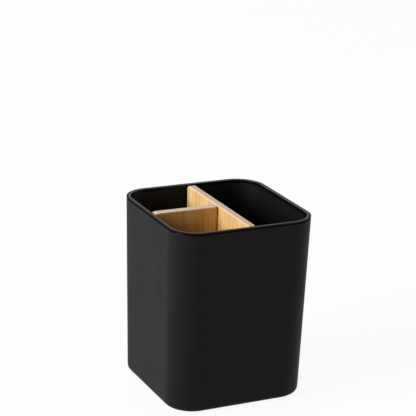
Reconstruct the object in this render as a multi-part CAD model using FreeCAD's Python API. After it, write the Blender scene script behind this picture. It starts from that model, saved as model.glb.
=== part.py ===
# Square toothbrush cup with a divider that lifts out, in millimetres.
# A matte outer shell holds a gloss inner liner, and two bamboo panels joined in a T stand in the liner.
# The origin is under the middle of the cup, on the surface that its feet stand on.
# +Z is up, -Y is the front, and the short panel is on the -X side.
import FreeCAD, Part
import math
import os

from FreeCAD import Vector

# Cup outline
rim_width = 80.0               # across the flats at the rim
wall_taper = 1.85              # how far each wall leans in from the rim down to the underside
overall_height = 99.3          # standing surface to rim
corner_radius = 15.0           # upright corners, outside
base_edge_round = 3.0          # walls into the underside

# Outer shell
shell_wall = 1.2
shell_floor = 1.8
shell_top_round = 0.3          # outer edge under the shadow groove
shadow_groove_height = 0.75    # dark line between shell and lip
shadow_groove_depth = 0.9
base_recess_inset = 6.0        # from the base's flats to the shallow panel underneath
base_recess_depth = 0.4

# Inner liner
seat_clearance = 0.1           # between the liner's wall and the shell's
liner_wall = 0.9
liner_floor = 1.6
liner_floor_clearance = 0.3    # the liner hangs by its lip, so its floor stays off the shell's
liner_floor_round = 3.0        # inside, walls into floor
lip_height = 0.35
lip_round = 0.25               # upper edges of the lip, outside and inside

# Snap ridges that hold the liner in the shell, one in the middle of each side
snap_length = 20.0
snap_height = 1.6
snap_reach = 0.3
snap_drop = 7.0                # rim to crest
snap_clearance = 0.1

# Bamboo divider
panel_thickness = 4.4
long_panel_offset = 1.6        # the long panel's mid plane, from the cup's middle towards +X
divider_drop = 0.15            # panel tops below the rim
divider_clearance = 0.7        # panel ends to the liner's walls
panel_edge_round = 0.8
panel_top_round = 2.0          # upper outer corners
panel_foot_round = 5.0         # lower outer corners, clear of the liner's floor round
panel_joint_round = 1.2        # short panel's corners where it meets the long one
joint_shadow_gap = 0.35        # dark line between the short panel's end and the long panel

# Dowels in the joint of the two panels
dowel_diameter = 2.5
dowel_length = 12.0
dowel_depth = 3.0              # into the long panel
dowel_chamfer = 0.3
dowel_clearance = 0.05         # around the dowel
dowel_end_clearance = 0.3
lower_dowel_share = 0.25       # heights of the dowels up the panels
upper_dowel_share = 0.75

# Foot pads
foot_diameter = 10.0
foot_thickness = 1.5
foot_pocket_depth = 0.8        # each pad is glued into a pocket in the underside
foot_pocket_clearance = 0.2
foot_inset = 13.0              # from the base's flats to a pad's centre
foot_edge_round = 0.3

# Modelling aids
overrun = 1.0                  # how far cutters pass the faces that they open
pick_tolerance = 0.001         # how near an edge lies to the line that it is picked by
round_limit_share = 0.8        # most of a wall that one edge round may take

# Levels, from the standing surface up
shell_underside = foot_thickness - foot_pocket_depth
shell_floor_top = shell_underside + shell_floor
liner_underside = shell_floor_top + liner_floor_clearance
cavity_floor = liner_underside + liner_floor
divider_top = overall_height - divider_drop
lip_underside = overall_height - lip_height
shell_top = lip_underside - shadow_groove_height
snap_crest = overall_height - snap_drop
panel_height = divider_top - cavity_floor
dowel_levels = {
    "lower_dowel": cavity_floor + panel_height * lower_dowel_share,
    "upper_dowel": cavity_floor + panel_height * upper_dowel_share,
}

# Distances in from the outside wall
liner_inset = shell_wall + seat_clearance
cavity_inset = liner_inset + liner_wall

# Places in plan
base_width = rim_width - 2 * wall_taper
long_panel_left = long_panel_offset - panel_thickness / 2
short_panel_right = long_panel_left - joint_shadow_gap
foot_reach = base_width / 2 - foot_inset
corner_signs = {"back_right": (1, 1), "back_left": (-1, 1), "front_left": (-1, -1), "front_right": (1, -1)}


def outer_half(z):
    """Half of the outside width at height z, on the straight taper of the walls."""
    climb_share = (z - shell_underside) / (overall_height - shell_underside)
    return base_width / 2 + wall_taper * climb_share


def wall_outline(inset, z):
    """Rounded square at height z, taken in from the outside wall by inset."""
    reach = outer_half(z) - corner_radius
    arcs = []
    for quarter, (x_sign, y_sign) in enumerate(corner_signs.values()):
        centre = Vector(x_sign * reach, y_sign * reach, z)
        angles = [(quarter + share) * math.pi / 2 for share in (0, 0.5, 1)]
        spokes = [Vector(math.cos(angle), math.sin(angle), 0) for angle in angles]
        arcs.append([centre + spoke * (corner_radius - inset) for spoke in spokes])
    edges = []
    for arc, following in zip(arcs, arcs[1:] + arcs[:1]):
        edges.append(Part.Arc(*arc).toShape())
        edges.append(Part.LineSegment(arc[-1], following[0]).toShape())
    return Part.Wire(edges)


def edges_along(shape, guide):
    """Edges of shape that lie on the line or outline given by guide."""
    picked = []
    for edge in shape.Edges:
        first, last = edge.ParameterRange
        points = [edge.valueAt(parameter) for parameter in (first, (first + last) / 2, last)]
        if all(guide.distToShape(Part.Vertex(point))[0] < pick_tolerance for point in points):
            picked.append(edge)
    return picked


def tapered_block(inset, bottom, top):
    """Solid between two heights whose sides follow the cup's walls, taken in by inset."""
    return Part.makeLoft([wall_outline(inset, bottom), wall_outline(inset, top)], True, True)


def round_level(shape, radius, inset, z):
    """Rounds the edges of shape that run round the cup at one height and inset."""
    return shape.makeFillet(radius, edges_along(shape, wall_outline(inset, z)))


def rounded_block(inset, bottom, top, bottom_round):
    """Tapered block with a round between its sides and its bottom."""
    return round_level(tapered_block(inset, bottom, top), bottom_round, inset, bottom)


def snap_ridges(margin):
    """Ridges on the liner's four sides, grown by margin on all sides."""
    low = snap_crest - snap_height / 2 - margin
    high = snap_crest + snap_height / 2 + margin
    root = liner_wall / 2
    front = {level: liner_inset - outer_half(level) for level in (low, snap_crest, high)}
    section = [
        (front[low] + root, low),
        (front[low], low),
        (front[snap_crest] - snap_reach - margin, snap_crest),
        (front[high], high),
        (front[high] + root, high),
    ]
    half_length = snap_length / 2 + margin
    points = [Vector(-half_length, y, z) for y, z in section]
    ridge = Part.Face(Part.makePolygon(points + points[:1])).extrude(Vector(2 * half_length, 0, 0))
    return [ridge.rotated(Vector(), Vector(0, 0, 1), 90 * quarter) for quarter in range(4)]


def foot_places():
    """Centres of the foot pads on the standing surface, by corner."""
    return {corner: Vector(x * foot_reach, y * foot_reach, 0) for corner, (x, y) in corner_signs.items()}


def foot_pocket(place):
    """Cutter for the pocket that a foot pad is glued into."""
    radius = foot_diameter / 2 + foot_pocket_clearance
    start = place + Vector(0, 0, shell_underside - overrun)
    return Part.makeCylinder(radius, overrun + foot_pocket_depth, start)


def outer_shell():
    """Matte outer cup: a tongue on its top edge carries the liner's lip and leaves the shadow groove."""
    top_round = min(shell_top_round, shadow_groove_depth * round_limit_share)
    body = rounded_block(0, shell_underside, shell_top, base_edge_round)
    body = round_level(body, top_round, 0, shell_top)
    tongue = tapered_block(shadow_groove_depth, shell_top, lip_underside)
    hollow_round = base_edge_round - min(shell_wall, base_edge_round * round_limit_share)
    hollow = rounded_block(shell_wall, shell_floor_top, lip_underside + overrun, hollow_round)
    recess = tapered_block(base_recess_inset, shell_underside - overrun, shell_underside + base_recess_depth)
    pockets = [foot_pocket(place) for place in foot_places().values()]
    shell = body.fuse(tongue).removeSplitter()
    return shell.cut([hollow, recess] + pockets + snap_ridges(snap_clearance))


def inner_liner():
    """Gloss inner cup that hangs in the shell by its lip."""
    edge_round = min(lip_round, lip_height * round_limit_share)
    wall = rounded_block(liner_inset, liner_underside, lip_underside, liner_floor_round + liner_wall)
    lip = round_level(tapered_block(0, lip_underside, overall_height), edge_round, 0, overall_height)
    hollow = rounded_block(cavity_inset, cavity_floor, overall_height + overrun, liner_floor_round)
    liner = wall.fuse([lip] + snap_ridges(0)).removeSplitter().cut(hollow)
    return round_level(liner, edge_round, cavity_inset, overall_height)


def panel_end(z):
    """Distance from the cup's middle to a panel's end beside the liner's wall at height z."""
    return outer_half(z) - cavity_inset - divider_clearance


def upright_panel(corners, corner_rounds, thickness):
    """Board with the given corners and corner rounds, thickness as a vector, and all edges eased."""
    board = Part.Face(Part.makePolygon(corners + corners[:1])).extrude(thickness)
    for corner, radius in zip(corners, corner_rounds):
        board = board.makeFillet(radius, edges_along(board, Part.makeLine(corner, corner + thickness)))
    broad_faces = sorted(board.Faces, key=lambda face: face.Area)[-2:]
    return board.makeFillet(panel_edge_round, [edge for face in broad_faces for edge in face.Edges])


def dowel_blank(name, around, beyond):
    """Cylinder along a dowel of the panel joint, grown by around in radius and by beyond at both ends."""
    start = Vector(long_panel_left + dowel_depth + beyond, 0, dowel_levels[name])
    return Part.makeCylinder(dowel_diameter / 2 + around, dowel_length + 2 * beyond, start, Vector(-1, 0, 0))


def dowel_bores():
    """Cutters for the dowel holes in both panels."""
    return [dowel_blank(name, dowel_clearance, dowel_end_clearance) for name in dowel_levels]


def long_divider():
    """Bamboo panel from the front wall to the back wall."""
    corners = [
        Vector(long_panel_left, -panel_end(cavity_floor), cavity_floor),
        Vector(long_panel_left, panel_end(cavity_floor), cavity_floor),
        Vector(long_panel_left, panel_end(divider_top), divider_top),
        Vector(long_panel_left, -panel_end(divider_top), divider_top),
    ]
    rounds = [panel_foot_round, panel_foot_round, panel_top_round, panel_top_round]
    return upright_panel(corners, rounds, Vector(panel_thickness, 0, 0)).cut(dowel_bores())


def short_divider():
    """Bamboo panel from the left wall to the long panel's left face, pinned to it by the dowels."""
    near = -panel_thickness / 2
    corners = [
        Vector(-panel_end(cavity_floor), near, cavity_floor),
        Vector(short_panel_right, near, cavity_floor),
        Vector(short_panel_right, near, divider_top),
        Vector(-panel_end(divider_top), near, divider_top),
    ]
    rounds = [panel_foot_round, panel_joint_round, panel_joint_round, panel_top_round]
    return upright_panel(corners, rounds, Vector(0, panel_thickness, 0)).cut(dowel_bores())


def dowel(name):
    """Wooden pin in the joint of the two panels."""
    pin = dowel_blank(name, 0, 0)
    rims = [edge for edge in pin.Edges if edge.isClosed()]
    return pin.makeChamfer(dowel_chamfer, rims)


def foot_pad(place):
    """Non-slip pad with an eased lower edge."""
    pad = Part.makeCylinder(foot_diameter / 2, foot_thickness, place)
    lower_rim = [edge for edge in pad.Edges if edge.BoundBox.ZMax < pick_tolerance]
    return pad.makeFillet(min(foot_edge_round, shell_underside), lower_rim)


nodes = {
    "outer_shell": outer_shell(),
    "inner_liner": inner_liner(),
    "long_divider": long_divider(),
    "short_divider": short_divider(),
}
for dowel_name in dowel_levels:
    nodes[dowel_name] = dowel(dowel_name)
for corner_name, foot_place in foot_places().items():
    nodes[f"foot_pad_{corner_name}"] = foot_pad(foot_place)

os.makedirs("parts", exist_ok=True)
for node_name, shape in nodes.items():
    shape.exportStep(f"parts/{node_name}.step")
    size = shape.BoundBox
    print(f"{node_name}: {len(shape.Solids)} solid, valid {shape.isValid()}, volume {shape.Volume:.1f},",
          f"{size.XLength:.2f} x {size.YLength:.2f} x {size.ZLength:.2f}")
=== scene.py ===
"""Looks of the toothbrush cup on a white floor.

The shell is soft-touch black, the liner has a polished lip, the divider is bamboo, the pads are rubber."""
import math

import bmesh
import bpy
from mathutils import Matrix, Vector


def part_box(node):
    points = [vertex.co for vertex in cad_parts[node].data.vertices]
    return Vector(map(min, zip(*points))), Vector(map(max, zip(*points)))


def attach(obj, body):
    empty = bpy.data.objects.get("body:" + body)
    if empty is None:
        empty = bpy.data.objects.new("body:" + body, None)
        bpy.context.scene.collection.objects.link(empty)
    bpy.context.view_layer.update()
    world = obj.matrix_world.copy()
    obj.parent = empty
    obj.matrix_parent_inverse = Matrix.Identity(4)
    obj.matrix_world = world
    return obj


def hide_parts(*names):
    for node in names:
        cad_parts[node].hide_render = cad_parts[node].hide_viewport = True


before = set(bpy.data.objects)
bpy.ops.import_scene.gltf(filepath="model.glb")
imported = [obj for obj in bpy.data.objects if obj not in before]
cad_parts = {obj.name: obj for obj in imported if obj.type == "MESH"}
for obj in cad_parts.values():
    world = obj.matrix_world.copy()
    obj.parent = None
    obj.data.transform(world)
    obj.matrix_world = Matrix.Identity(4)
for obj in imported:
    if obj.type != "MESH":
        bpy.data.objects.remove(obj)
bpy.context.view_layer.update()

MM = 0.001

# Camera, matched to the photograph's viewing angle: where it stands (metres), its turn about the
# cup (0 looks at the front wall), its height above the horizon, its roll and its lens.
camera_place = (-0.36673, -0.74084, 0.36525)
camera_azimuth = math.radians(-25.988)
camera_elevation = math.radians(17.959)
camera_roll = math.radians(2.004)
camera_lens = 143.617
camera_sensor = 36.0

# Studio light: each softbox has a direction from the cup and the angles that it spans, in degrees,
# and a radiance.
softbox_distance = 2.6
softboxes = {
    "key_softbox": {"azimuth": -89, "elevation": 23, "span": (32, 22), "radiance": 21.0},
    "back_softbox": {"azimuth": 160, "elevation": 60, "span": (44, 30), "radiance": 3.0},
    "fill_softbox": {"azimuth": 40, "elevation": 15, "span": (30, 20), "radiance": 1.6},
}
room_light = 0.05
floor_size = 12.0
floor_glow_share = 0.92
floor_tone = "f4f4f4"
white = "ffffff"

# Noise: the levels that it mostly stays between, and how many finer octaves ride on a pattern.
noise_low = 0.3
noise_high = 0.7
smooth_octaves = 1.0
plain_octaves = 2.0
fine_octaves = 3.0
speckled_octaves = 4.0

# Soft-touch paint on the shell, and the groove under the lip, painted a deeper black as shade and made
# glossier.
paint_tones = ("0c0c0d", "0f0f10")
paint_roughness = (0.52, 0.58)
paint_grain = 0.40 * MM
paint_grain_depth = 0.012 * MM
paint_grain_strength = 0.5
paint_ior = 1.5
paint_specular = 0.10
touch_mark_size = 14.0 * MM
painted_groove_shade_tone = "030303"
groove_gloss_roughness = 0.12
painted_groove_shade_height = 0.85 * MM
mask_fade = 0.15 * MM

# Moulded liner: satin inside, polished at the lip apart from its outer edge.
abs_tones = ("060607", "09090a")
abs_ior = 1.53
abs_specular = 0.10
satin_roughness = 0.50
polished_roughness = 0.10
polished_lip_depth = 1.2 * MM
polish_fade = 1.0 * MM
cup_corner_radius = 15.0 * MM
lip_edge_width = 1.0 * MM
lip_edge_fade = 0.2 * MM
lip_edge_roughness = 0.70
polish_wave = 16.0 * MM
polish_wave_depth = 0.010 * MM
polish_wave_strength = 0.4
scuff_width = 0.5 * MM
scuff_length = 9.0 * MM
scuff_roughness = 0.12

# Bamboo sheet: upright staves glued edge to edge, with a cross ply between two faces. A strength is
# the most that a mark covers of the tone under it, and a range the noise over which it sets in.
stave_width = 5.0 * MM
glue_tone = "7d5129"
glue_line_width = 0.16 * MM
glue_line_strength = 0.45
fibre_width = 0.45 * MM
fibre_length = 14.0 * MM
fibre_range = (0.48, 0.72)
fibre_strength = 0.6
fibre_raggedness = 0.6
streak_width = 1.6 * MM
streak_length = 60.0 * MM
streak_range = (0.42, 0.68)
streak_strength = 0.45
node_spacing = 250.0 * MM
node_mark_height = 1.1 * MM
node_mark_strength = 0.45
ply_count = 3
ply_glue_tone = "8f6a48"
ply_line_width = 2.5 * glue_line_width
ply_line_strength = 0.75
pore_spacing = 0.7 * MM
pore_range = (0.15, 0.4)
pore_strength = 0.30
cut_edge_slope = (0.45, 0.8)
half_step = 0.5
bamboo_roughness = (0.40, 0.56)
bamboo_grain_strength = 0.35
bamboo_ior = 1.47
wood_grain_depth = 0.05 * MM

# Dowels and rubber.
beech_tones = ("d9b48c", "b98b60")
beech_roughness = 0.6
beech_grain_strength = 0.3
rubber_tones = ("151515", "242424")
rubber_roughness = 0.75
rubber_ior = 1.41
rubber_grain = 0.30 * MM
rubber_grain_depth = 0.02 * MM
rubber_grain_strength = 0.5

# Grip pads: small blunt nubs on a grid under each disc, longer than they stand out, so that their
# roots sink into it.
nub_spacing = 1.3 * MM
nub_radius = 0.42 * MM
nub_tip_radius = 0.26 * MM
nub_height = 0.30 * MM
nub_depth_share = 1.5
nub_sides = 10
pad_edge_round = 0.25 * MM
pad_sides = 64
round_steps = 6
merge_distance = 0.001 * MM


def linear(hex_colour):
    """An sRGB hex colour such as "c8985c" as linear RGBA."""
    channels = [int(hex_colour[i:i + 2], 16) / 255 for i in (0, 2, 4)]
    return (*(c / 12.92 if c <= 0.04045 else ((c + 0.055) / 1.055) ** 2.4 for c in channels), 1.0)


def feed(tree, node, inputs):
    """Links or sets a node's inputs, by name or number: each gets a socket or a value."""
    for name, value in inputs.items():
        if isinstance(value, bpy.types.NodeSocket):
            tree.links.new(value, node.inputs[name])
        else:
            node.inputs[name].default_value = value


def add(tree, kind, links=None, **settings):
    """Adds a node: settings are its properties, and links what its inputs are fed with."""
    made = tree.nodes.new(kind)
    for name, value in settings.items():
        setattr(made, name, value)
    feed(tree, made, links or {})
    return made


def new_finish(name):
    """An empty material with one Principled shader; returns the material, its tree and the shader."""
    finish = bpy.data.materials.new(name)
    finish.use_nodes = True
    tree = finish.node_tree
    return finish, tree, tree.nodes["Principled BSDF"]


def soft_touch_paint():
    """Soft-touch paint on moulded ABS: deep black, a wide dull sheen and a grain as fine as an eggshell.

    The groove under the lip is painted a deeper black as shade, and made glossier, which keeps it a sharp
    black line. The real grain is about 0.1 mm and is drawn four times coarser, so that it shows."""
    finish, tree, shader = new_finish("soft_touch_paint_on_abs")
    place = add(tree, "ShaderNodeTexCoord").outputs["Object"]
    grain = add(tree, "ShaderNodeTexNoise", {"Vector": place, "Scale": 1 / paint_grain,
                                             "Detail": fine_octaves})
    marks = add(tree, "ShaderNodeTexNoise", {"Vector": place, "Scale": 1 / touch_mark_size,
                                             "Detail": speckled_octaves})
    height = add(tree, "ShaderNodeSeparateXYZ", {"Vector": place}).outputs["Z"]
    # Painted shade: the groove below the lip gets a deeper black tone than the paint, with less roughness.
    mask_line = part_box("outer_shell")[1].z - painted_groove_shade_height
    painted_groove_shade = add(tree, "ShaderNodeMapRange", {"Value": height, "From Min": mask_line - mask_fade,
                                            "From Max": mask_line})
    paint = add(tree, "ShaderNodeMix", {0: marks.outputs["Fac"], 6: linear(paint_tones[0]),
                                        7: linear(paint_tones[1])}, data_type="RGBA")
    tone = add(tree, "ShaderNodeMix", {0: painted_groove_shade.outputs["Result"], 6: paint.outputs[2],
                                       7: linear(painted_groove_shade_tone)}, data_type="RGBA")
    dull = add(tree, "ShaderNodeMapRange", {"Value": marks.outputs["Fac"],
                                            "From Min": noise_low, "From Max": noise_high,
                                            "To Min": paint_roughness[0], "To Max": paint_roughness[1]})
    sheen = add(tree, "ShaderNodeMapRange", {"Value": painted_groove_shade.outputs["Result"],
                                             "To Min": dull.outputs["Result"], "To Max": groove_gloss_roughness})
    bump = add(tree, "ShaderNodeBump", {"Height": grain.outputs["Fac"], "Strength": paint_grain_strength,
                                        "Distance": paint_grain_depth})
    feed(tree, shader, {"Base Color": tone.outputs[2], "Roughness": sheen.outputs["Result"],
                        "Normal": bump.outputs["Normal"], "IOR": paint_ior,
                        "Specular IOR Level": paint_specular})
    return finish


def polished_abs():
    """Black ABS moulded with a polished lip and a satin inside: a bright line round dark, quiet walls.

    A faint waviness and hair-fine upright scuffs break up the gloss. The scuffs are about 0.1 mm wide
    and are drawn five times as wide, so that they show."""
    finish, tree, shader = new_finish("polished_black_abs")
    place = add(tree, "ShaderNodeTexCoord").outputs["Object"]
    wave = add(tree, "ShaderNodeTexNoise", {"Vector": place, "Scale": 1 / polish_wave,
                                            "Detail": smooth_octaves})
    upright = add(tree, "ShaderNodeMapping", {"Vector": place, "Scale": (1 / scuff_width, 1 / scuff_width,
                                                                         1 / scuff_length)})
    scuffs = add(tree, "ShaderNodeTexNoise", {"Vector": upright.outputs["Vector"], "Scale": 1.0,
                                              "Detail": plain_octaves})
    tone = add(tree, "ShaderNodeMix", {0: wave.outputs["Fac"], 6: linear(abs_tones[0]),
                                       7: linear(abs_tones[1])}, data_type="RGBA")
    height = add(tree, "ShaderNodeSeparateXYZ", {"Vector": place}).outputs["Z"]
    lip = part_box("inner_liner")[1].z - polished_lip_depth
    gloss = add(tree, "ShaderNodeMapRange", {"Value": height, "From Min": lip - polish_fade,
                                             "From Max": lip, "To Min": satin_roughness,
                                             "To Max": polished_roughness})

    # The lip's outer edge stays dull, which leaves the polish as a thin line. How far out a point lies
    # is measured from the middles of the rounded corners and the lines that join them.
    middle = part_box("inner_liner")[1].x - cup_corner_radius
    apart = add(tree, "ShaderNodeVectorMath", {0: place}, operation="ABSOLUTE")
    past = add(tree, "ShaderNodeVectorMath", {0: apart.outputs[0], 1: (middle, middle, 0.0)},
               operation="SUBTRACT")
    beyond = add(tree, "ShaderNodeVectorMath", {0: past.outputs[0], 1: (0.0, 0.0, 0.0)},
                 operation="MAXIMUM")
    level = add(tree, "ShaderNodeVectorMath", {0: beyond.outputs[0], 1: (1.0, 1.0, 0.0)},
                operation="MULTIPLY")
    outward = add(tree, "ShaderNodeVectorMath", {0: level.outputs[0]}, operation="LENGTH")
    edge_start = cup_corner_radius - lip_edge_width
    edged = add(tree, "ShaderNodeMapRange", {"Value": outward.outputs["Value"],
                                             "From Min": edge_start - lip_edge_fade,
                                             "From Max": edge_start,
                                             "To Min": gloss.outputs["Result"],
                                             "To Max": lip_edge_roughness})

    # Scuffs over both.
    rubbed = add(tree, "ShaderNodeMath", {0: scuffs.outputs["Fac"], 1: scuff_roughness,
                                          2: edged.outputs["Result"]}, operation="MULTIPLY_ADD")
    bump = add(tree, "ShaderNodeBump", {"Height": wave.outputs["Fac"], "Strength": polish_wave_strength,
                                        "Distance": polish_wave_depth})
    feed(tree, shader, {"Base Color": tone.outputs[2], "Roughness": rubbed.outputs[0],
                        "Normal": bump.outputs["Normal"], "IOR": abs_ior,
                        "Specular IOR Level": abs_specular})
    return finish


def laminated_bamboo(name, panel, turn, deep, pale, streak, fibre, cut, core):
    """Oiled laminated bamboo: upright staves of differing tan with fine dark fibres, and cut edges that
    show the plies and the pores, painted paler and pinker partly as the sheen of light glancing off them.

    turn brings the panel's length onto the pattern's X axis. So that they show, the fibre bundles, about
    0.3 mm wide, are drawn half as wide again, and the glue lines, about 0.1 mm wide, three times as wide
    on the faces and eight times on the cut edges."""
    finish, tree, shader = new_finish(name)
    low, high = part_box(panel)
    thickness = min(high.x - low.x, high.y - low.y)
    place = add(tree, "ShaderNodeTexCoord").outputs["Object"]
    board = add(tree, "ShaderNodeMapping", {"Vector": place, "Location": (low + high) / 2,
                                            "Rotation": (0.0, 0.0, turn)}, vector_type="TEXTURE")
    axes = add(tree, "ShaderNodeSeparateXYZ", {"Vector": board.outputs["Vector"]})

    # Staves: a number for each, a tone from it, and a thin glue line between neighbours. Ping-pong over
    # half a step gives the distance to the nearest line.
    along = add(tree, "ShaderNodeMath", {0: axes.outputs["X"], 1: stave_width}, operation="DIVIDE")
    stave = add(tree, "ShaderNodeMath", {0: along.outputs[0]}, operation="FLOOR")
    stave_draw = add(tree, "ShaderNodeTexWhiteNoise", {"W": stave.outputs[0]}, noise_dimensions="1D")
    stave_tone = add(tree, "ShaderNodeMix", {0: stave_draw.outputs["Value"], 6: linear(deep),
                                             7: linear(pale)}, data_type="RGBA")
    off_line = add(tree, "ShaderNodeMath", {0: along.outputs[0], 1: half_step}, operation="PINGPONG")
    glue = add(tree, "ShaderNodeMapRange", {"Value": off_line.outputs[0], "From Min": 0.0,
                                            "From Max": glue_line_width / stave_width,
                                            "To Min": glue_line_strength, "To Max": 0.0})
    glued = add(tree, "ShaderNodeMix", {0: glue.outputs["Result"], 6: stave_tone.outputs[2],
                                        7: linear(glue_tone)}, data_type="RGBA")

    # Fibres: fine dark lines and broad streaks drawn out along the height, different in each stave.
    fine = add(tree, "ShaderNodeMapping", {"Vector": board.outputs["Vector"],
                                           "Scale": (1 / fibre_width, 1 / fibre_width, 1 / fibre_length)})
    fibres = add(tree, "ShaderNodeTexNoise", {"Vector": fine.outputs["Vector"], "W": stave.outputs[0],
                                              "Scale": 1.0, "Detail": fine_octaves,
                                              "Roughness": fibre_raggedness}, noise_dimensions="4D")
    broad = add(tree, "ShaderNodeMapping", {"Vector": board.outputs["Vector"],
                                            "Scale": (1 / streak_width, 1 / streak_width,
                                                      1 / streak_length)})
    streaks = add(tree, "ShaderNodeTexNoise", {"Vector": broad.outputs["Vector"], "W": stave.outputs[0],
                                               "Scale": 1.0, "Detail": plain_octaves},
                  noise_dimensions="4D")
    fibre_share = add(tree, "ShaderNodeMapRange", {"Value": fibres.outputs["Fac"],
                                                   "From Min": fibre_range[0], "From Max": fibre_range[1],
                                                   "To Min": 0.0, "To Max": fibre_strength})
    streak_share = add(tree, "ShaderNodeMapRange", {"Value": streaks.outputs["Fac"],
                                                    "From Min": streak_range[0],
                                                    "From Max": streak_range[1],
                                                    "To Min": 0.0, "To Max": streak_strength})
    streaked = add(tree, "ShaderNodeMix", {0: streak_share.outputs["Result"], 6: glued.outputs[2],
                                           7: linear(streak)}, data_type="RGBA")
    face = add(tree, "ShaderNodeMix", {0: fibre_share.outputs["Result"], 6: streaked.outputs[2],
                                       7: linear(fibre)}, data_type="RGBA")

    # Growth nodes: a faint dark band across a stave here and there, at a height of its own.
    second_draw = add(tree, "ShaderNodeSeparateColor", {0: stave_draw.outputs["Color"]})
    node_level = add(tree, "ShaderNodeMapRange", {"Value": second_draw.outputs["Green"],
                                                  "To Min": -node_spacing / 2, "To Max": node_spacing / 2})
    above = add(tree, "ShaderNodeMath", {0: axes.outputs["Z"], 1: node_level.outputs["Result"]},
                operation="SUBTRACT")
    off_node = add(tree, "ShaderNodeMath", {0: above.outputs[0]}, operation="ABSOLUTE")
    node_share = add(tree, "ShaderNodeMapRange", {"Value": off_node.outputs[0], "From Min": 0.0,
                                                  "From Max": node_mark_height,
                                                  "To Min": node_mark_strength, "To Max": 0.0})
    marked = add(tree, "ShaderNodeMix", {0: node_share.outputs["Result"], 6: face.outputs[2],
                                         7: linear(fibre)}, data_type="RGBA")

    # Cut edges at the top and the foot: plies side by side, with the open ends of the fibres as dots.
    # Half a step puts the middle ply between 0 and 1.
    ply = add(tree, "ShaderNodeMath", {0: axes.outputs["Y"], 1: thickness / ply_count}, operation="DIVIDE")
    ply_line = add(tree, "ShaderNodeMath", {0: ply.outputs[0], 1: half_step}, operation="ADD")
    off_ply = add(tree, "ShaderNodeMath", {0: ply_line.outputs[0], 1: half_step}, operation="PINGPONG")
    ply_glue = add(tree, "ShaderNodeMapRange", {"Value": off_ply.outputs[0], "From Min": 0.0,
                                                "From Max": ply_line_width * ply_count / thickness,
                                                "To Min": ply_line_strength, "To Max": 0.0})
    pores = add(tree, "ShaderNodeTexVoronoi", {"Vector": board.outputs["Vector"],
                                               "Scale": 1 / pore_spacing})
    pore_share = add(tree, "ShaderNodeMapRange", {"Value": pores.outputs["Distance"],
                                                  "From Min": pore_range[0], "From Max": pore_range[1],
                                                  "To Min": pore_strength, "To Max": 0.0})
    ply_number = add(tree, "ShaderNodeMath", {0: ply_line.outputs[0]}, operation="FLOOR")
    middle = add(tree, "ShaderNodeMath", {0: ply_number.outputs[0], 1: 0.0, 2: half_step},
                 operation="COMPARE")
    # Painted sheen: the cut and core tones are paler and pinker than the bamboo, partly standing in for
    # light glancing off the top edges.
    plies = add(tree, "ShaderNodeMix", {0: middle.outputs[0], 6: linear(cut), 7: linear(core)},
                data_type="RGBA")
    dotted = add(tree, "ShaderNodeMix", {0: pore_share.outputs["Result"], 6: plies.outputs[2],
                                         7: linear(fibre)}, data_type="RGBA")
    edge = add(tree, "ShaderNodeMix", {0: ply_glue.outputs["Result"], 6: dotted.outputs[2],
                                       7: linear(ply_glue_tone)}, data_type="RGBA")

    # A cut edge is known by how far its surface faces up or down.
    facing = add(tree, "ShaderNodeNewGeometry").outputs["Normal"]
    slope = add(tree, "ShaderNodeSeparateXYZ", {"Vector": facing})
    upward = add(tree, "ShaderNodeMath", {0: slope.outputs["Z"]}, operation="ABSOLUTE")
    on_cut = add(tree, "ShaderNodeMapRange", {"Value": upward.outputs[0], "From Min": cut_edge_slope[0],
                                              "From Max": cut_edge_slope[1]})
    tone = add(tree, "ShaderNodeMix", {0: on_cut.outputs["Result"], 6: marked.outputs[2],
                                       7: edge.outputs[2]}, data_type="RGBA")
    satin = add(tree, "ShaderNodeMapRange", {"Value": fibres.outputs["Fac"],
                                             "From Min": noise_low, "From Max": noise_high,
                                             "To Min": bamboo_roughness[0],
                                             "To Max": bamboo_roughness[1]})
    bump = add(tree, "ShaderNodeBump", {"Height": fibres.outputs["Fac"], "Strength": bamboo_grain_strength,
                                        "Distance": wood_grain_depth}, invert=True)
    feed(tree, shader, {"Base Color": tone.outputs[2], "Roughness": satin.outputs["Result"],
                        "Normal": bump.outputs["Normal"], "IOR": bamboo_ior})
    return finish


def turned_beech():
    """Beech dowel, turned: pale pinkish wood with fine grain along the pin."""
    finish, tree, shader = new_finish("turned_beech")
    place = add(tree, "ShaderNodeTexCoord").outputs["Object"]
    drawn = add(tree, "ShaderNodeMapping", {"Vector": place, "Scale": (1 / fibre_length, 1 / fibre_width,
                                                                       1 / fibre_width)})
    grain = add(tree, "ShaderNodeTexNoise", {"Vector": drawn.outputs["Vector"], "Scale": 1.0,
                                             "Detail": fine_octaves})
    tone = add(tree, "ShaderNodeMix", {0: grain.outputs["Fac"], 6: linear(beech_tones[0]),
                                       7: linear(beech_tones[1])}, data_type="RGBA")
    bump = add(tree, "ShaderNodeBump", {"Height": grain.outputs["Fac"], "Strength": beech_grain_strength,
                                        "Distance": wood_grain_depth})
    feed(tree, shader, {"Base Color": tone.outputs[2], "Roughness": beech_roughness,
                        "Normal": bump.outputs["Normal"]})
    return finish


def moulded_rubber():
    """Black silicone rubber: dull, slightly dusty, with the mould's fine grain.

    The real grain is about 0.1 mm and is drawn three times coarser, so that it shows."""
    finish, tree, shader = new_finish("moulded_silicone_rubber")
    place = add(tree, "ShaderNodeTexCoord").outputs["Object"]
    grain = add(tree, "ShaderNodeTexNoise", {"Vector": place, "Scale": 1 / rubber_grain,
                                             "Detail": speckled_octaves})
    tone = add(tree, "ShaderNodeMix", {0: grain.outputs["Fac"], 6: linear(rubber_tones[0]),
                                       7: linear(rubber_tones[1])}, data_type="RGBA")
    bump = add(tree, "ShaderNodeBump", {"Height": grain.outputs["Fac"], "Strength": rubber_grain_strength,
                                        "Distance": rubber_grain_depth})
    feed(tree, shader, {"Base Color": tone.outputs[2], "Roughness": rubber_roughness,
                        "Normal": bump.outputs["Normal"], "IOR": rubber_ior})
    return finish


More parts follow.
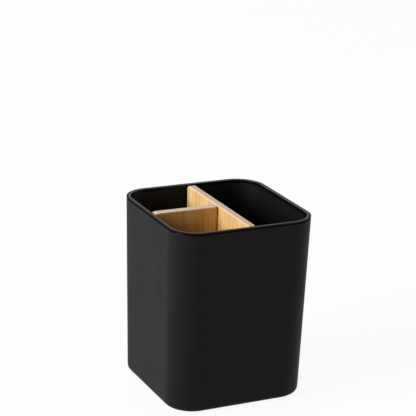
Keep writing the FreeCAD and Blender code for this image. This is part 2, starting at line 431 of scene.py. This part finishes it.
def nub_tree():
    """Geometry Nodes tree that sets blunt nubs on a grid under a pad's disc."""
    tree = bpy.data.node_groups.new("grip_nubs", "GeometryNodeTree")
    inputs = {"Geometry": "NodeSocketGeometry", "Pad Radius": "NodeSocketFloat",
              "Pad Centre": "NodeSocketVector", "Nub Spacing": "NodeSocketFloat",
              "Nub Radius": "NodeSocketFloat", "Nub Tip Radius": "NodeSocketFloat",
              "Nub Height": "NodeSocketFloat", "Finish": "NodeSocketMaterial"}
    for name, kind in inputs.items():
        tree.interface.new_socket(name, in_out="INPUT", socket_type=kind)
    tree.interface.new_socket("Geometry", in_out="OUTPUT", socket_type="NodeSocketGeometry")
    given = add(tree, "NodeGroupInput").outputs

    # A grid at least as wide as the pad, less the points within one step of the pad's edge or past it.
    across = add(tree, "ShaderNodeMath", {0: given["Pad Radius"], 1: 2.0}, operation="MULTIPLY")
    steps = add(tree, "ShaderNodeMath", {0: across.outputs[0], 1: given["Nub Spacing"]},
                operation="DIVIDE")
    rows = add(tree, "ShaderNodeMath", {0: steps.outputs[0]}, operation="CEIL")
    count = add(tree, "ShaderNodeMath", {0: rows.outputs[0], 1: 1.0}, operation="ADD")
    side = add(tree, "ShaderNodeMath", {0: rows.outputs[0], 1: given["Nub Spacing"]}, operation="MULTIPLY")
    grid = add(tree, "GeometryNodeMeshGrid", {"Size X": side.outputs[0], "Size Y": side.outputs[0],
                                              "Vertices X": count.outputs[0],
                                              "Vertices Y": count.outputs[0]})
    away = add(tree, "ShaderNodeVectorMath", {0: add(tree, "GeometryNodeInputPosition").outputs[0]},
               operation="LENGTH")
    margin = add(tree, "ShaderNodeMath", {0: given["Pad Radius"], 1: given["Nub Spacing"]},
                 operation="SUBTRACT")
    outside = add(tree, "FunctionNodeCompare", {0: away.outputs["Value"], 1: margin.outputs[0]},
                  operation="GREATER_THAN")
    kept = add(tree, "GeometryNodeDeleteGeometry", {"Geometry": grid.outputs["Mesh"],
                                                    "Selection": outside.outputs["Result"]}, domain="POINT")

    # A nub on each point that is left, joined to the disc.
    depth = add(tree, "ShaderNodeMath", {0: given["Nub Height"], 1: nub_depth_share}, operation="MULTIPLY")
    nub = add(tree, "GeometryNodeMeshCone", {"Vertices": nub_sides, "Radius Top": given["Nub Radius"],
                                             "Radius Bottom": given["Nub Tip Radius"],
                                             "Depth": depth.outputs[0]})
    nubs = add(tree, "GeometryNodeInstanceOnPoints", {"Points": kept.outputs["Geometry"],
                                                      "Instance": nub.outputs["Mesh"]})
    seated = add(tree, "GeometryNodeTransform", {"Geometry": nubs.outputs["Instances"],
                                                 "Translation": given["Pad Centre"]})
    joined = add(tree, "GeometryNodeJoinGeometry")
    feed(tree, joined, {"Geometry": seated.outputs["Geometry"]})
    feed(tree, joined, {"Geometry": given["Geometry"]})
    solid = add(tree, "GeometryNodeRealizeInstances", {"Geometry": joined.outputs["Geometry"]})
    dressed = add(tree, "GeometryNodeSetMaterial", {"Geometry": solid.outputs["Geometry"],
                                                    "Material": given["Finish"]})
    add(tree, "NodeGroupOutput", {"Geometry": dressed.outputs["Geometry"]})
    return tree


def pad_disc(centre, radius, low, high):
    """A disc with rounded edges between two heights, turned about an upright axis at centre."""
    quarter = [i * math.pi / 2 / round_steps for i in range(round_steps + 1)]
    inner = radius - pad_edge_round
    profile = [(0.0, low)]
    profile += [(inner + pad_edge_round * math.sin(a), low + pad_edge_round * (1 - math.cos(a)))
                for a in quarter]
    profile += [(inner + pad_edge_round * math.cos(a), high - pad_edge_round * (1 - math.sin(a)))
                for a in quarter]
    profile += [(0.0, high)]
    disc = bmesh.new()
    points = [disc.verts.new((centre.x + r, centre.y, z)) for r, z in profile]
    lines = [disc.edges.new(pair) for pair in zip(points, points[1:])]
    bmesh.ops.spin(disc, geom=points + lines, cent=(centre.x, centre.y, 0.0), axis=(0.0, 0.0, 1.0),
                   angle=2 * math.pi, steps=pad_sides, use_merge=True)
    bmesh.ops.remove_doubles(disc, verts=disc.verts, dist=merge_distance)
    bmesh.ops.recalc_face_normals(disc, faces=disc.faces)
    return disc


def grip_pad(node, tree, finish):
    """A rubber pad with nubs under it, in the place of a plain foot pad."""
    low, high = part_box(node)
    centre = (low + high) / 2
    radius = (high.x - low.x) / 2
    mesh = bpy.data.meshes.new(node + "_grip")
    disc = pad_disc(centre, radius, low.z + nub_height, high.z)
    disc.to_mesh(mesh)
    disc.free()
    blank = bpy.data.objects.new(node + "_blank", mesh)
    bpy.context.scene.collection.objects.link(blank)
    nubs = blank.modifiers.new("grip_nubs", "NODES")
    nubs.node_group = tree
    sizes = {"Pad Radius": radius, "Pad Centre": Vector((centre.x, centre.y, low.z)),
             "Nub Spacing": nub_spacing, "Nub Radius": nub_radius, "Nub Tip Radius": nub_tip_radius,
             "Nub Height": nub_height, "Finish": finish}
    for socket in tree.interface.items_tree:
        if socket.in_out == "INPUT" and socket.name in sizes:
            nubs[socket.identifier] = sizes[socket.name]
    bpy.context.view_layer.update()
    evaluated = blank.evaluated_get(bpy.context.evaluated_depsgraph_get())
    pad = bpy.data.objects.new(node + "_grip", bpy.data.meshes.new_from_object(evaluated))
    bpy.context.scene.collection.objects.link(pad)
    bpy.data.objects.remove(blank)
    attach(pad, "cup")
    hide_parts(node)


def dress(node, finish):
    """Puts a finish on a CAD node."""
    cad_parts[node].material_slots[0].material = finish


def toward(azimuth, elevation):
    """Unit vector from the cup: azimuth 0 is the front (-Y), and turns towards +X."""
    return Vector((math.sin(azimuth) * math.cos(elevation), -math.cos(azimuth) * math.cos(elevation),
                   math.sin(elevation)))


def softbox(name, azimuth, elevation, span, radiance):
    """A rectangular area lamp aimed at the cup, as bright over its whole face as radiance says."""
    way = toward(math.radians(azimuth), math.radians(elevation))
    lamp = bpy.data.lights.new(name, "AREA")
    lamp.shape = "RECTANGLE"
    lamp.size, lamp.size_y = (2 * softbox_distance * math.tan(math.radians(angle) / 2) for angle in span)
    lamp.energy = radiance * math.pi * lamp.size * lamp.size_y
    box = bpy.data.objects.new(name, lamp)
    box.location = softbox_distance * way
    box.rotation_euler = way.to_track_quat("Z", "Y").to_euler()
    bpy.context.scene.collection.objects.link(box)


def seen_rays(tree):
    """A socket that is 1 for what the eye sees, also in gloss or through glass, and 0 for other light."""
    ray = add(tree, "ShaderNodeLightPath")
    seen = add(tree, "ShaderNodeMath", {0: ray.outputs["Is Camera Ray"], 1: ray.outputs["Is Glossy Ray"]},
               operation="MAXIMUM")
    shown = add(tree, "ShaderNodeMath", {0: seen.outputs[0], 1: ray.outputs["Is Transmission Ray"]},
                operation="MAXIMUM")
    return shown.outputs[0]


def white_floor():
    """A wide white floor that keeps the shadow: part lit paint, part even white for the eye and gloss."""
    mesh = bpy.data.meshes.new("white_floor")
    half = floor_size / 2
    corners = [(-half, -half, 0), (half, -half, 0), (half, half, 0), (-half, half, 0)]
    mesh.from_pydata(corners, [], [(0, 1, 2, 3)])
    floor = bpy.data.objects.new("white_floor", mesh)
    bpy.context.scene.collection.objects.link(floor)
    paint = bpy.data.materials.new("white_floor_paint")
    paint.use_nodes = True
    tree = paint.node_tree
    tree.nodes.clear()
    share = add(tree, "ShaderNodeMath", {0: seen_rays(tree), 1: floor_glow_share}, operation="MULTIPLY")
    lit = add(tree, "ShaderNodeBsdfDiffuse", {"Color": linear(floor_tone)})
    even = add(tree, "ShaderNodeEmission", {"Color": linear(white), "Strength": 1.0})
    mixed = add(tree, "ShaderNodeMixShader", {0: share.outputs[0], 1: lit.outputs[0], 2: even.outputs[0]})
    add(tree, "ShaderNodeOutputMaterial", {"Surface": mixed.outputs[0]})
    mesh.materials.append(paint)


def white_room():
    """World: white to the eye and in gloss, a dim even fill for everything else."""
    world = bpy.data.worlds.new("white_room")
    world.use_nodes = True
    tree = world.node_tree
    tree.nodes.clear()
    strength = add(tree, "ShaderNodeMapRange", {"Value": seen_rays(tree), "To Min": room_light,
                                                "To Max": 1.0})
    air = add(tree, "ShaderNodeBackground", {"Color": linear(white),
                                             "Strength": strength.outputs["Result"]})
    add(tree, "ShaderNodeOutputWorld", {"Surface": air.outputs[0]})
    bpy.context.scene.world = world


def photo_camera():
    """The camera at the photograph's viewing angle."""
    lens = bpy.data.cameras.new("photo_camera")
    lens.sensor_width = camera_sensor
    lens.lens = camera_lens
    camera = bpy.data.objects.new("photo_camera", lens)
    back = toward(camera_azimuth, camera_elevation)
    level = Vector((0, 0, 1)).cross(back).normalized()
    turned = Matrix((level, back.cross(level), back)).transposed() @ Matrix.Rotation(camera_roll, 3, "Z")
    camera.matrix_world = Matrix.Translation(camera_place) @ turned.to_4x4()
    bpy.context.scene.collection.objects.link(camera)
    bpy.context.scene.camera = camera


dress("outer_shell", soft_touch_paint())
dress("inner_liner", polished_abs())
# Each panel's cut and core tones are painted paler, partly as sheen off its top edges.
dress("long_divider", laminated_bamboo("laminated_bamboo_pale", "long_divider", math.pi / 2,
                                       deep="d6a971", pale="e2bf8a", streak="b4854e", fibre="8f6238",
                                       cut="d8bc9c", core="c6a688"))
# The short panel is the same bamboo as the long one. Its warmer, redder tones are painted bounce light, the
# orange glow that the lit long panel throws on its shaded face.
dress("short_divider", laminated_bamboo("laminated_bamboo_painted_bounce", "short_divider", 0.0,
                                        deep="da9d54", pale="ebba72", streak="bb7d3f", fibre="9a5e2a",
                                        cut="e0c5b2", core="d0b29c"))
dowel_finish = turned_beech()
for dowel in ("lower_dowel", "upper_dowel"):
    dress(dowel, dowel_finish)
pad_finish = moulded_rubber()
pad_nubs = nub_tree()
for pad_corner in ("front_left", "front_right", "back_left", "back_right"):
    grip_pad("foot_pad_" + pad_corner, pad_nubs, pad_finish)

white_floor()
white_room()
for softbox_name, setting in softboxes.items():
    softbox(softbox_name, **setting)
photo_camera()
bpy.context.scene.view_settings.view_transform = "Standard"
